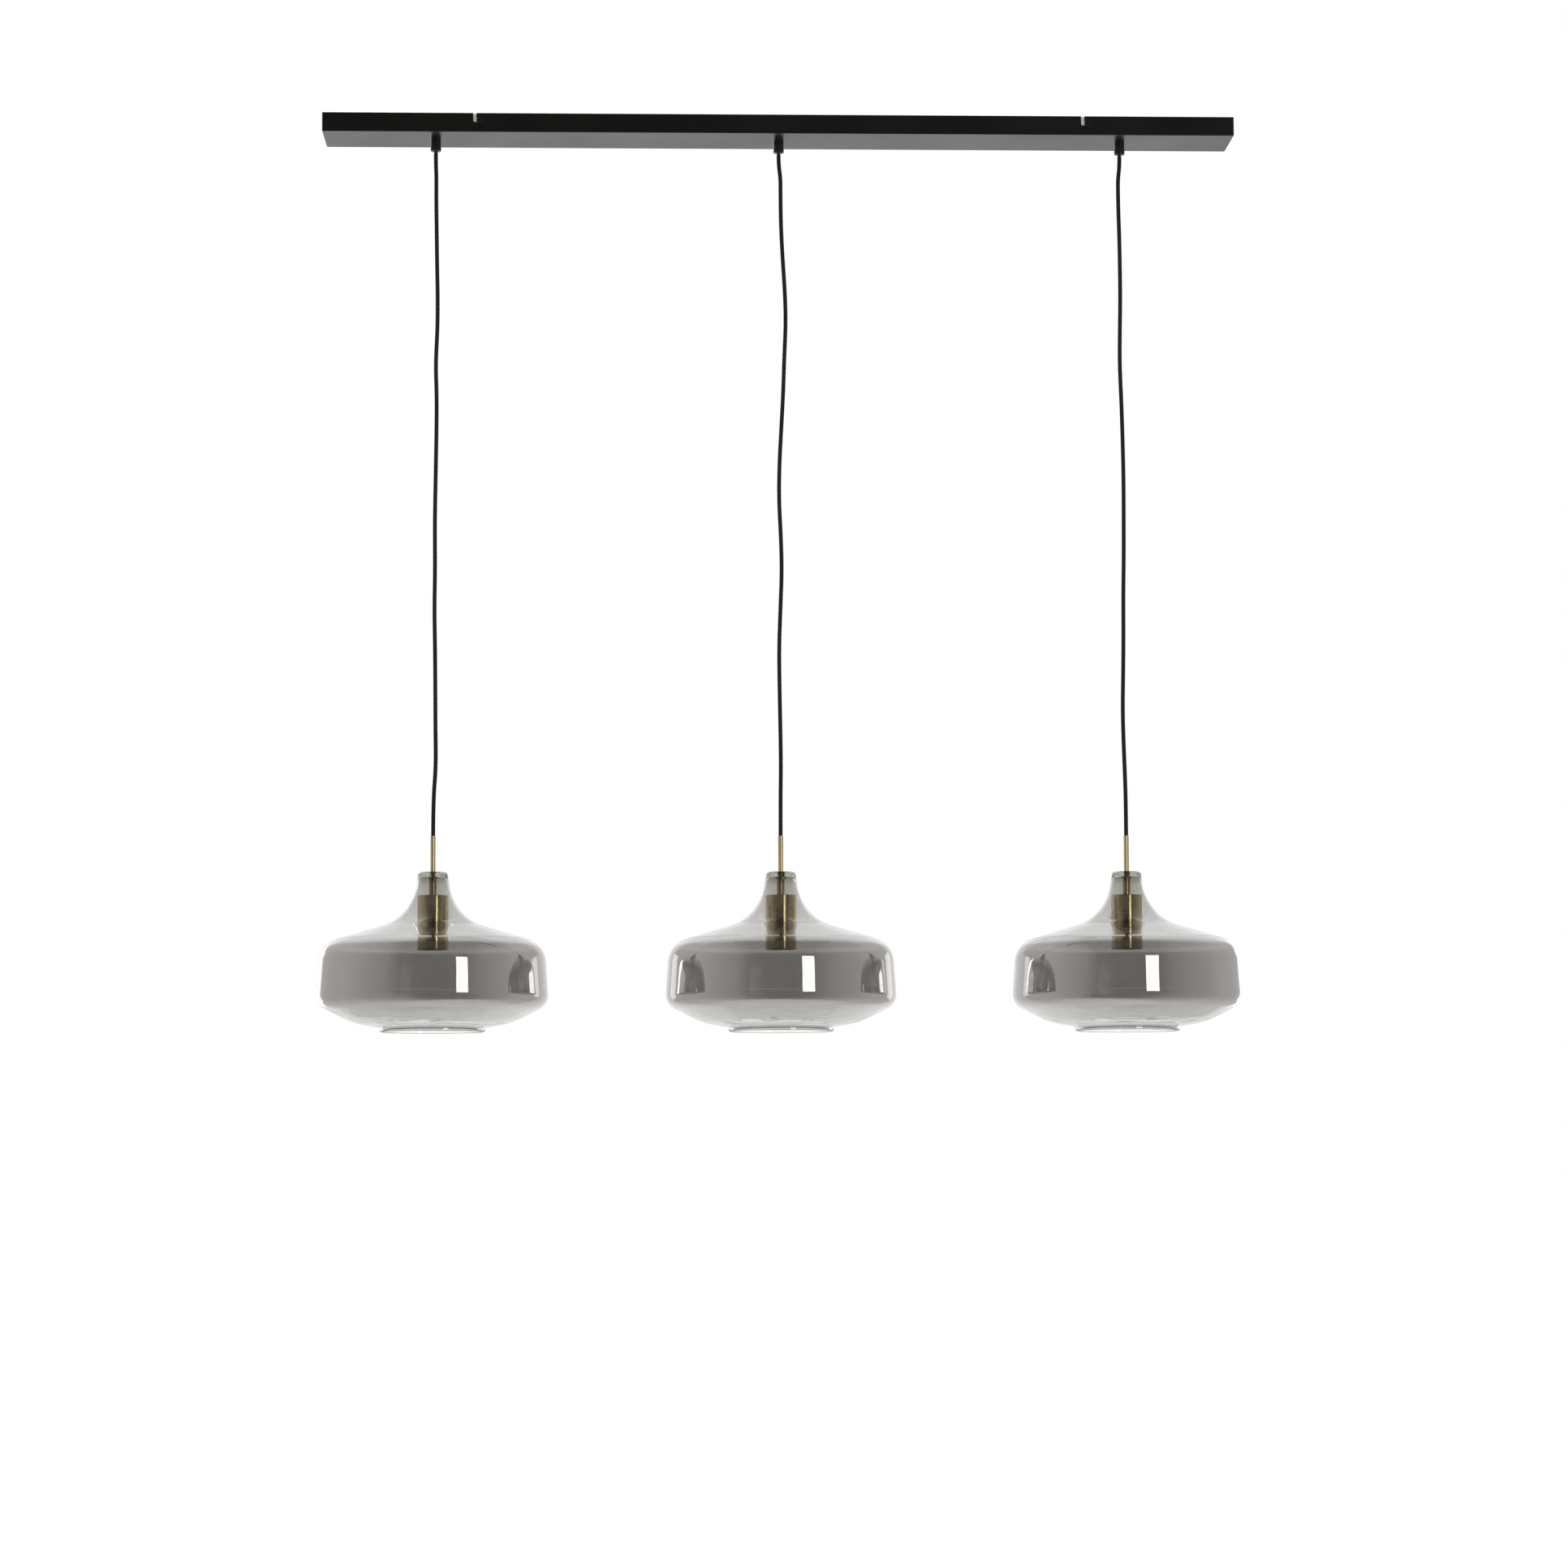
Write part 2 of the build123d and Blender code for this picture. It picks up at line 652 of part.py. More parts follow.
def make_lampholder(side, place):
    radius = holder_diameter / 2
    outline = [
        (thread_hole, holder_top),
        (holder_boss_diameter / 2, holder_top),
        (holder_boss_diameter / 2, holder_shoulder),
        (radius, holder_shoulder),
        (radius, holder_bottom),
        (radius - holder_wall, holder_bottom),
        (radius - holder_wall, insert_top),
        (holder_chamber_diameter / 2, insert_top),
        (holder_chamber_diameter / 2, chamber_top),
        (thread_hole, chamber_top),
    ]
    with BuildPart() as lampholder:
        with BuildSketch(Plane.XZ.shift_origin((place, 0, 0))):
            with BuildLine():
                Polyline(*outline, close=True)
            make_face()
        revolve(axis=Axis((place, 0, 0), (0, 0, 1)))
        rims = lampholder.edges().filter_by(GeomType.CIRCLE)
        fillet([rim for rim in rims if rim.radius > radius - holder_edge], radius=holder_edge)
    save(lampholder, f"lampholder_{side}")


def make_insert(side, place):
    with BuildPart() as insert:
        with BuildSketch(Plane.XY.offset(insert_top)):
            with Locations((place, 0)):
                Circle(holder_diameter / 2 - holder_wall - insert_gap)
        extrude(amount=-insert_thickness)
        with BuildSketch(Plane.XY.offset(insert_bottom)):
            with Locations((place, 0)):
                Circle(insert_recess_diameter / 2)
        extrude(amount=insert_recess_depth, mode=Mode.SUBTRACT)
    save(insert, f"contact_insert_{side}")


def make_shell(side, place):
    with BuildPart() as shell:
        with BuildSketch(Plane.XY.offset(insert_bottom)):
            with Locations((place, 0)):
                Circle(shell_bore / 2 + shell_wall)
                Circle(shell_bore / 2, mode=Mode.SUBTRACT)
        extrude(amount=-shell_length)
    save(shell, f"screw_shell_{side}")


def make_contact(side, place):
    base = insert_bottom + insert_recess_depth
    half = contact_length / 2
    strip = [
        (-half, base - contact_thickness / 2),
        (-half / 3, base - contact_thickness / 2),
        (half / 3, base - contact_lift),
        (half, base - contact_lift),
    ]
    with BuildPart() as contact:
        with BuildSketch(Plane.XZ.shift_origin((place, 0, 0))):
            with BuildLine():
                middle = Polyline(*strip)
                offset(middle, amount=contact_thickness / 2)
            make_face()
        extrude(amount=contact_width / 2, both=True)
    save(contact, f"centre_contact_{side}")


def main():
    os.makedirs("parts", exist_ok=True)
    make_canopy()
    for side, place in bracket_places.items():
        make_bracket(side, place)
    make_side_screws()
    make_terminal_block()
    make_earth()
    make_grip_nuts()
    per_lamp = [
        make_grip_body, make_grip_cap, make_inner_cord, make_cord_top, make_cord, make_cord_tail,
        make_stem_tube, make_sleeve, make_gasket, make_glass, make_cup, make_cup_nut, make_lampholder,
        make_insert, make_shell, make_contact,
    ]
    for side, place in lamp_places.items():
        for make in per_lamp:
            make(side, place)


main()
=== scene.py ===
import json
from math import cos, pi, radians, sin, tan

import bpy
from mathutils import Matrix, Vector, noise


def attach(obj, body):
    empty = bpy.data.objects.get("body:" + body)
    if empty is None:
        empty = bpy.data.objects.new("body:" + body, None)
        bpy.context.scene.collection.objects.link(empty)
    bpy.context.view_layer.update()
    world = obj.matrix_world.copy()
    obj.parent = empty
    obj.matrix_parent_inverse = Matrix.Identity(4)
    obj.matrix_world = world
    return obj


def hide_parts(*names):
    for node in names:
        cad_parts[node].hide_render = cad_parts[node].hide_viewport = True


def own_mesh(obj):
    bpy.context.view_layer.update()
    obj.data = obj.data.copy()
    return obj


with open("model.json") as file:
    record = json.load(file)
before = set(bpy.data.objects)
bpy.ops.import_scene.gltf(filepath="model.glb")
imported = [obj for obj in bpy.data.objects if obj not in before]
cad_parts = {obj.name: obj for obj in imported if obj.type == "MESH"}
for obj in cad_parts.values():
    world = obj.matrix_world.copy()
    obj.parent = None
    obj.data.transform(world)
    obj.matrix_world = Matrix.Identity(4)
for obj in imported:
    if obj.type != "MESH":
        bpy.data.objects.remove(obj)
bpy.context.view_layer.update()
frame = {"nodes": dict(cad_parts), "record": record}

scene = bpy.context.scene

# Camera, fitted to the bar's corners, the grips, the stems and the shades in the photograph
camera_place = Vector((-0.190, -5.540, -1.364))
camera_sensor = 36.0  # mm
camera_lens = 97.67  # mm
camera_reach = 100.0
camera_yaw = radians(2.012)  # to the right
camera_pitch = radians(4.990)  # upwards
camera_roll = radians(-0.177)

# Places of the three pendants and heights on them
lamp_places = {"left": -0.453, "middle": 0.0, "right": 0.453}
sway_height = -0.0444
swing_height = -0.0844
glass_top = -0.9954

# Cords
cord_diameter = 0.0054
cord_sides = 32
cord_end_angles = (80, 60, 40, 20)  # degrees, of the rings that round an end off
braid_bands = 6
braid_lead = 0.036
braid_depth = 0.00008
braid_yarns = 12  # fine yarns round the cord
spline_steps = 44

# The routes of the hanging cords: (sideways, forwards, drop) below the lower bending place
cord_routes = {
    "left": [
        (0.0007, 0, 0), (0.0007, 0, 0.024), (0.0015, -0.0006, 0.066), (0.0022, -0.0015, 0.110),
        (0.0032, -0.0010, 0.152), (0.0030, 0.0004, 0.194), (0.0007, 0.0012, 0.240),
        (0.0024, 0.0002, 0.286), (0.0022, -0.0011, 0.338), (0.0014, -0.0016, 0.396),
        (0.0005, -0.0006, 0.454), (0.0011, 0.0008, 0.512), (0.0003, 0.0015, 0.566),
        (0.0015, 0.0007, 0.620), (0.0021, -0.0005, 0.672), (0.0025, -0.0012, 0.724),
        (0.0033, -0.0003, 0.772), (0, 0, 0.816), (0, 0, 0.8636),
    ],
    "middle": [
        (0.0024, 0, 0), (0.0024, 0, 0.024), (0.0031, 0.0005, 0.062), (0.0052, 0.0013, 0.102),
        (0.0079, 0.0006, 0.144), (0.0088, -0.0008, 0.186), (0.0066, -0.0016, 0.232),
        (0.0052, -0.0007, 0.276), (0.0026, 0.0008, 0.324), (-0.0002, 0.0015, 0.374),
        (-0.0009, 0.0003, 0.422), (0.0016, -0.0010, 0.470), (0.0026, -0.0014, 0.516),
        (0.0006, -0.0002, 0.566), (-0.0013, 0.0010, 0.616), (-0.0008, 0.0016, 0.668),
        (0.0001, 0.0004, 0.720), (0.0007, -0.0008, 0.770), (0, 0, 0.816), (0, 0, 0.8636),
    ],
    "right": [
        (-0.0022, 0, 0), (-0.0022, 0, 0.024), (-0.0013, -0.0007, 0.062), (-0.0009, -0.0016, 0.104),
        (-0.0007, -0.0008, 0.150), (-0.0016, 0.0007, 0.196), (-0.0022, 0.0014, 0.238),
        (-0.0004, 0.0009, 0.288), (0.0006, -0.0004, 0.340), (0.0012, -0.0013, 0.394),
        (0.0009, -0.0006, 0.446), (0.0006, 0.0007, 0.498), (-0.0005, 0.0014, 0.550),
        (-0.0008, 0.0005, 0.602), (-0.0019, -0.0007, 0.652), (-0.0031, -0.0012, 0.700),
        (-0.0020, -0.0004, 0.748), (-0.0005, 0.0005, 0.790), (0, 0, 0.824), (0, 0, 0.8636),
    ],
}

# The routes of the first stretch below each grip: (sideways, drop) below the upper bending place
cord_top_routes = {
    "left": [(0, 0), (0, 0.0088), (0.000294, 0.020), (0.0007, 0.0312), (0.0007, 0.040)],
    "middle": [(0, 0), (0, 0.0088), (0.001008, 0.020), (0.0024, 0.0312), (0.0024, 0.040)],
    "right": [(0, 0), (0, 0.0088), (-0.000924, 0.020), (-0.0022, 0.0312), (-0.0022, 0.040)],
}

# Glass shade: corners of its outline as a radius and a drop below its top, each with its rounding
glass_corners = [
    (0.0040, 0.0, 0.0),
    (0.0185, 0.0, 0.004),
    (0.0285, 0.0585, 0.064),
    (0.1458, 0.0940, 0.033),
    (0.1510, 0.1720, 0.021),
    (0.1020, 0.1968, 0.100),
    (0.0685, 0.2025, 0.002),
    (0.0685, 0.2080, 0.0),
]
glass_wall = 0.003
glass_top_thickness = 0.0075
glass_bore = 0.0040
glass_lip_round = 0.0012
glass_edge_round = 0.0007
glass_sides = 192
glass_turn = 90  # degrees that each shade is turned on from the one before
glass_step = 0.003
glass_play = glass_step / 10
corner_steps = 6  # the fewest on a rounding of the outline
bore_steps = 5
lip_steps = 6
seat_steps = 4

# Waviness of the blown glass: its reach, how fine it is round the shade and down it, and the drops
# where it starts, is full, starts to end and ends
wave_reach = 0.00016
wave_round = 2.2
wave_down = 26
wave_zone = (0.02, 0.07, 0.186, 0.206)
# Lumps of the ring at the top of the neck; they fade inwards and downwards
lump_reach = 0.0011
lump_round = 2.4
lump_down = 160
lump_start = 7
lump_radii = (0.009, 0.015)
lump_drops = (0.006, 0.014)
# Swirls in the lower cone
swirl_reach = 0.00022
swirl_across = 70
swirl_start = 3
swirl_zone = (0.176, 0.182, 0.196, 0.202)

# How the glass changes down the shade: drop below its top, light that a wall lets through, mirroring
glass_bands = [
    (0.000, (0.36, 0.365, 0.315), 0.00),
    (0.007, (0.40, 0.40, 0.35), 0.00),
    (0.016, (0.58, 0.576, 0.545), 0.05),
    (0.048, (0.69, 0.69, 0.67), 0.05),
    (0.060, (0.72, 0.72, 0.705), 0.05),
    (0.078, (0.76, 0.76, 0.755), 0.05),
    (0.0945, (0.84, 0.84, 0.835), 0.05),
    (0.0985, (0.465, 0.45, 0.438), 0.44),
    (0.168, (0.465, 0.45, 0.438), 0.44),
    (0.183, (0.69, 0.69, 0.665), 0.14),
    (0.2015, (0.64, 0.64, 0.61), 0.10),
    (0.2045, (0.97, 0.97, 0.96), 0.00),
    (0.208, (0.97, 0.97, 0.96), 0.00),
]

# Threaded shell of the lampholder
shell_top = -1.0684
shell_length = 0.022
shell_radius = 0.0137
shell_wall = 0.0004
thread_pitch = 0.00362
thread_depth = 0.00032
thread_fade = 3  # the thread fades over one part in this many at each end
thread_steps = 10
shell_sides = 72

# Patterns of the materials
cloud_range = (0.3, 0.7)  # of the noise, spread over a mottle's colours and roughness
stripe_pace = 1500.0  # radians per metre of height
stripe_edge = (-0.1, 0.1)
weave_range = (-0.6, 1.0)

# The Mix node's sockets for colours
mix_share = 0
mix_first = 6
mix_second = 7
mix_result = 2

# Studio
white = (1, 1, 1)
floor_height = -2.5
floor_reach = 30.0
floor_colour = (0.88, 0.88, 0.87)
floor_fade = (2.6, 5.0)  # distances from the origin where the floor starts to go white and is white
floor_glow = 0.6  # share of white up to the first of them
world_level = 0.45  # light from all round, where the background shows as 1
# Soft lights: place, target, width, height and brightness
softboxes = {
    "softbox_right": ((1.43, -3.14, 0.07), (0, 0, -0.6), 0.8, 2.9, 4.0),
    "softbox_top": ((0, -0.6, 1.9), (0, 0, -0.6), 3.4, 2.2, 2.2),
    "softbox_left": ((-3.6, -1.6, 0.6), (0, 0, -0.9), 1.2, 1.8, 2.2),
}

# Sheets that show only as reflections or through the glass
sheet_gap = 0.02  # above the floor
sheet_ground = floor_height + sheet_gap
ring_steps = 60
# The dim studio round the lamp: how bright it is at turns from the front, to the right and on to the back
dim_levels = [
    (-150, 0.75), (-97, 0.80), (-82, 0.70), (-60, 0.54), (-47, 0.42), (-33, 0.16), (-18, 0.10), (10, 0.09),
    (30, 0.14), (45, 0.33), (60, 0.46), (85, 0.63), (100, 0.78), (150, 0.75), (180, 0.55), (210, 0.75),
]
dim_start = dim_levels[0][0]
dim_span = dim_levels[-1][0] - dim_start
dim_hue = (1.0, 0.93, 0.89)
dim_front = (-150, 150)
dim_back = (150, 210)
dim_distance = 7.5
dim_back_distance = 11.0
dim_head = 2.4
dim_meeting = 3.0  # how far behind the lamp the ceiling's stretches meet
dim_floor_start = 1.0
dim_floor_edge = 0.6
dim_floor_white = 0.7  # how far the edge has gone over into the white floor
# The white backdrop's panels: from, to, foot and brightness
backdrop_panels = [(-1.45, -0.92, -1.5, 1.75), (-0.92, 0.92, sheet_ground, 1.0), (0.92, 1.5, -1.5, 1.75)]
backdrop_distance = 1.2
backdrop_head = -0.75
# The bright screens behind the lamp, seen in a shade only by way of its neighbour: from, to and brightness
screen_panels = [(-1.9, -0.3, 13.0), (-0.3, 1.65, 3.6)]
screen_distance = 1.19
screen_foot = -1.3
screen_head = -0.2
glass_passage = -4.0  # what light that has come through glass adds to its count of reflections
# The white board beside the camera that shows in the glass and the brass
board_turns = (19.0, 31.4)
board_distance = 3.45
board_foot = -1.7
board_head = -0.3
board_level = 4.0
# The paler low front, seen in the cups through the glass and in the stems: foot, head and kind of bounce
pale_panels = [(-0.82, -0.53, "Transmission Depth"), (-0.53, -0.36, "Glossy Depth")]
pale_turns = (-40.0, 42.0)
pale_distance = 7.4
pale_level = 0.40


def build_camera():
    forward = Vector((
        sin(camera_yaw) * cos(camera_pitch),
        cos(camera_yaw) * cos(camera_pitch),
        sin(camera_pitch),
    ))
    level = Vector((cos(camera_yaw), -sin(camera_yaw), 0))
    upright = level.cross(forward)
    right = cos(camera_roll) * level + sin(camera_roll) * upright
    up = cos(camera_roll) * upright - sin(camera_roll) * level
    data = bpy.data.cameras.new("camera")
    data.sensor_width = camera_sensor
    data.lens = camera_lens
    data.clip_end = camera_reach
    camera = bpy.data.objects.new("camera", data)
    turned = Matrix((right, up, -forward)).transposed().to_4x4()
    camera.matrix_world = Matrix.Translation(camera_place) @ turned
    scene.collection.objects.link(camera)
    scene.camera = camera


def add_mesh(name, verts, faces, uvs=None):
    """A smooth mesh object in the scene; uvs are given per vertex of each face."""
    mesh = bpy.data.meshes.new(name)
    mesh.from_pydata(verts, [], faces)
    mesh.update()
    mesh.polygons.foreach_set("use_smooth", [True] * len(mesh.polygons))
    if uvs:
        layer = mesh.uv_layers.new(name="along")
        layer.data.foreach_set("uv", [value for pair in uvs for value in pair])
    piece = bpy.data.objects.new(name, mesh)
    scene.collection.objects.link(piece)
    return piece


def around(reach, angle, height):
    """A point at a distance from the upright axis."""
    return Vector((reach * cos(angle), reach * sin(angle), height))


def spline_line(name, points):
    """The points of a smooth NURBS line that has the given points as its control points."""
    curve = bpy.data.curves.new(name, "CURVE")
    curve.dimensions = "3D"
    spline = curve.splines.new("NURBS")
    spline.points.add(len(points) - 1)
    for control, point in zip(spline.points, points):
        control.co = (*point, 1)
    spline.order_u = 3
    spline.use_endpoint_u = True
    spline.resolution_u = spline_steps
    holder = bpy.data.objects.new(name, curve)
    scene.collection.objects.link(holder)
    flat = bpy.data.meshes.new_from_object(holder)
    line = [vertex.co.copy() for vertex in flat.vertices]
    bpy.data.objects.remove(holder)
    bpy.data.curves.remove(curve)
    bpy.data.meshes.remove(flat)
    return line


def cord_rings(line):
    """The rings of a cord with round ends: centre, heading, share of the full width and way along it."""
    radius = cord_diameter / 2
    end_turns = [radians(angle) for angle in cord_end_angles]
    start = (line[1] - line[0]).normalized()
    end = (line[-1] - line[-2]).normalized()
    rings = [(line[0] - start * radius * sin(turn), start, cos(turn), 0.0) for turn in end_turns]
    along = 0.0
    for index, point in enumerate(line):
        before = line[max(index - 1, 0)]
        after = line[min(index + 1, len(line) - 1)]
        along += (point - before).length
        rings.append((point, (after - before).normalized(), 1.0, along))
    rings += [(line[-1] + end * radius * sin(turn), end, cos(turn), along) for turn in reversed(end_turns)]
    return rings


def cord_tube(name, line):
    """A braided tube along a line."""
    rings = cord_rings(line)
    verts = []
    for centre, heading, share, place in rings:
        across = Vector((0, 1, 0)).cross(heading).normalized()
        other = heading.cross(across)
        lead = 2 * pi * place / braid_lead
        for side in range(cord_sides):
            angle = 2 * pi * side / cord_sides
            raised = max(cos(braid_bands * (angle - lead)), cos(braid_bands * (angle + lead)))
            reach = share * (cord_diameter / 2 - braid_depth * (0.5 - 0.5 * raised))
            verts.append(centre + reach * (cos(angle) * across + sin(angle) * other))
    faces, uvs = [], []
    heights = [place / (pi * cord_diameter) for _, _, _, place in rings]
    last = len(rings) - 1
    for ring in range(last):
        low, high = heights[ring], heights[ring + 1]
        for side in range(cord_sides):
            beside = (side + 1) % cord_sides
            faces.append((
                ring * cord_sides + side,
                ring * cord_sides + beside,
                (ring + 1) * cord_sides + beside,
                (ring + 1) * cord_sides + side,
            ))
            left, right = side / cord_sides, (side + 1) / cord_sides
            uvs += [(left, low), (right, low), (right, high), (left, high)]
    for ring, way in ((0, -1), (last, 1)):
        faces.append([ring * cord_sides + side for side in range(cord_sides)][::way])
        uvs += [(side / cord_sides, heights[ring]) for side in range(cord_sides)][::way]
    return add_mesh(name, verts, faces, uvs)


def lay_cord(name, points, body, node, textile):
    """A cord that rides on a body and replaces a node; its line is given back too."""
    line = spline_line(name, points)
    cord = cord_tube(name, line)
    cord.data.materials.append(textile)
    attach(cord, body)
    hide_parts(node)
    return cord, line


def build_cords(side, place, textile):
    points = [
        Vector((place + sideways, 0, sway_height - drop)) for sideways, drop in cord_top_routes[side]
    ]
    cord_top, top_line = lay_cord(
        f"braided_cord_top_{side}", points, f"cord_bend_{side}", f"cord_top_{side}", textile
    )
    points = [
        Vector((place + sideways, forwards, swing_height - drop))
        for sideways, forwards, drop in cord_routes[side]
    ]
    cord, line = lay_cord(f"braided_cord_{side}", points, f"cord_{side}", f"cord_{side}", textile)
    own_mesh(cord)


def glass_outline():
    """Points of the shade's outer outline, each as radius and drop, with the direction of travel."""
    points = []
    here = Vector(glass_corners[0][:2])
    for index in range(1, len(glass_corners)):
        corner = Vector(glass_corners[index][:2])
        run = (corner - here).normalized()
        cut = 0.0
        turn = 0.0
        rounding = glass_corners[index][2]
        if rounding:
            onwards = (Vector(glass_corners[index + 1][:2]) - corner).normalized()
            turn = run.angle_signed(onwards)
            cut = rounding * tan(abs(turn) / 2)
        stop = corner - run * cut
        pieces = max(1, round((stop - here).length / glass_step))
        points += [(here.lerp(stop, step / pieces), run) for step in range(pieces)]
        here = stop
        if rounding:
            inwards = Vector((-run.y, run.x)) if turn < 0 else Vector((run.y, -run.x))
            middle = stop + inwards * rounding
            steps = max(corner_steps, round(abs(turn) * rounding / glass_step))
            for step in range(steps):
                swing = Matrix.Rotation(-turn * step / steps, 2)
                points.append((middle + swing @ (stop - middle), swing @ run))
            here = middle + Matrix.Rotation(-turn, 2) @ (stop - middle)
    points.append((here, run))
    return points


def arc(middle, radius, start, end, steps):
    """Points of an arc in the outline's plane, angles in degrees from the radius towards the drop."""
    angles = [radians(start + (end - start) * step / steps) for step in range(steps + 1)]
    return [Vector((middle[0] + radius * cos(angle), middle[1] + radius * sin(angle))) for angle in angles]


def glass_section():
    """The closed outline of the shade's wall."""
    outline = glass_outline()
    rounding = glass_edge_round
    mouth, lip_end, _ = glass_corners[-1]
    lip_start = lip_end - glass_lip_round
    seat_end = glass_top_thickness + 2 * rounding
    outer = [point for point, _ in outline if point.y < lip_start - glass_play]
    outer = [point for point in outer if point.x > glass_bore + 2 * rounding]
    inner = [point + Vector((-way.y, way.x)) * glass_wall for point, way in outline]
    inner = [point for point in inner if seat_end < point.y < lip_start - glass_play]
    bore_top = arc((glass_bore + rounding, rounding), rounding, 180, 270, bore_steps)
    lip = arc((mouth - glass_lip_round, lip_start), glass_lip_round, 0, 90, lip_steps)
    lip += arc((mouth - glass_wall + glass_lip_round, lip_start), glass_lip_round, 90, 180, lip_steps)
    seat = arc((inner[0].x - rounding, glass_top_thickness + rounding), rounding, 0, -90, seat_steps)
    bore_foot = arc((glass_bore + rounding, glass_top_thickness - rounding), rounding, 90, 180, bore_steps)
    return bore_top + outer + lip + inner[::-1] + seat + bore_foot


def rise(value, low, high):
    """0 up to low, 1 from high on, and even between them."""
    return min(1.0, max(0.0, (value - low) / (high - low)))


def within(value, zone):
    """1 in a zone that is given by where it starts, is full, starts to end and ends."""
    start, full, ending, end = zone
    return rise(value, start, full) * (1 - rise(value, ending, end))


def hang_on_lamps(first, name, node, turn_step=0):
    """Puts a piece that is made round the axis on all three lamps."""
    for count, (side, place) in enumerate(lamp_places.items()):
        piece = first
        if count:
            piece = bpy.data.objects.new(f"{name}_{side}", first.data)
            scene.collection.objects.link(piece)
        piece.location.x = place
        piece.rotation_euler.z = radians(turn_step * count)
        bpy.context.view_layer.update()
        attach(piece, f"lamp_{side}")
        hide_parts(f"{node}_{side}")


def build_glass(glass):
    section = glass_section()
    verts, faces = [], []
    for side in range(glass_sides):
        angle = 2 * pi * side / glass_sides
        for point in section:
            wave = noise.noise(around(wave_round, angle, wave_down * point.y))
            lump = noise.noise(around(lump_round, angle, lump_start + lump_down * point.y))
            swirl = noise.noise(around(swirl_across * point.x, angle, swirl_start))
            ring = (1 - rise(point.y, *lump_drops)) * rise(point.x, *lump_radii)
            reach = point.x + wave_reach * within(point.y, wave_zone) * wave + lump_reach * ring * lump
            drop = point.y + swirl_reach * within(point.y, swirl_zone) * swirl
            verts.append(around(reach, angle, glass_top - drop))
    count = len(section)
    for side in range(glass_sides):
        beside = (side + 1) % glass_sides
        for index in range(count):
            after = (index + 1) % count
            faces.append((
                side * count + index,
                side * count + after,
                beside * count + after,
                beside * count + index,
            ))
    first = add_mesh("blown_glass_left", verts, faces)
    first.data.materials.append(glass)
    hang_on_lamps(first, "blown_glass", "glass_shade", glass_turn)


def build_shells(plated):
    """The rolled threads of the lampholders."""
    rings = round(shell_length / thread_pitch * thread_steps)
    verts, faces = [], []
    for wall in (shell_wall / 2, -shell_wall / 2):
        for ring in range(rings + 1):
            drop = shell_length * ring / rings
            fade = min(1.0, thread_fade * ring / rings, thread_fade * (rings - ring) / rings)
            for side in range(shell_sides):
                angle = 2 * pi * side / shell_sides
                wave = fade * thread_depth * cos(2 * pi * drop / thread_pitch - angle)
                verts.append(around(shell_radius + wall + wave, angle, shell_top - drop))
    inner_start = (rings + 1) * shell_sides
    foot = rings * shell_sides
    for side in range(shell_sides):
        beside = (side + 1) % shell_sides
        for ring in range(rings):
            here, below = ring * shell_sides, (ring + 1) * shell_sides
            faces.append((here + side, below + side, below + beside, here + beside))
            faces.append((
                inner_start + here + beside,
                inner_start + below + beside,
                inner_start + below + side,
                inner_start + here + side,
            ))
        faces.append((side, beside, inner_start + beside, inner_start + side))
        faces.append((foot + beside, foot + side, inner_start + foot + side, inner_start + foot + beside))
    first = add_mesh("rolled_thread_left", verts, faces)
    first.data.materials.append(plated)
    hang_on_lamps(first, "rolled_thread", "screw_shell")


class Nodes:
    """Helpers that add nodes to a tree."""

    def __init__(self, tree):
        self.tree = tree

    def link(self, source, target):
        self.tree.links.new(source, target)

    def node(self, kind, **values):
        made = self.tree.nodes.new(kind)
        for name, value in values.items():
            setattr(made, name, value)
        return made

    def parts(self, vector):
        """The three parts of a vector."""
        made = self.node("ShaderNodeSeparateXYZ")
        self.link(vector, made.inputs[0])
        return tuple(made.outputs)

    def maths(self, operation, first, second=0.0, third=0.0):
        made = self.node("ShaderNodeMath", operation=operation)
        for socket, value in zip(made.inputs, (first, second, third)):
            if isinstance(value, (int, float)):
                socket.default_value = value
            else:
                self.link(value, socket)
        return made.outputs[0]

    def spread(self, value, from_low, from_high, to_low=0.0, to_high=1.0):
        made = self.node("ShaderNodeMapRange")
        self.link(value, made.inputs["Value"])
        for socket, level in zip(made.inputs[1:5], (from_low, from_high, to_low, to_high)):
            socket.default_value = level
        return made.outputs["Result"]

    def ramp(self, value, stops):
        """Colours that change evenly between stops, each given as a place and a colour."""
        made = self.node("ShaderNodeValToRGB")
        self.link(value, made.inputs["Fac"])
        row = made.color_ramp.elements
        while len(row) < len(stops):
            row.new(0.5)
        for element, (place, colour) in zip(row, stops):
            element.position = place
            element.color = (*colour, 1)
        return made.outputs["Color"]

    def blend(self, share, first, second):
        """A colour between two, each of them given as a colour or as a socket."""
        made = self.node("ShaderNodeMix", data_type="RGBA")
        self.link(share, made.inputs[mix_share])
        for socket, colour in ((made.inputs[mix_first], first), (made.inputs[mix_second], second)):
            if isinstance(colour, tuple):
                socket.default_value = (*colour, 1)
            else:
                self.link(colour, socket)
        return made.outputs[mix_result]

    def mix(self, share, first, second):
        """A shader between two others."""
        made = self.node("ShaderNodeMixShader")
        for socket, source in zip(made.inputs, (share, first, second)):
            self.link(source, socket)
        return made.outputs[0]

    def show(self, shader):
        self.link(shader, self.node("ShaderNodeOutputMaterial").inputs["Surface"])


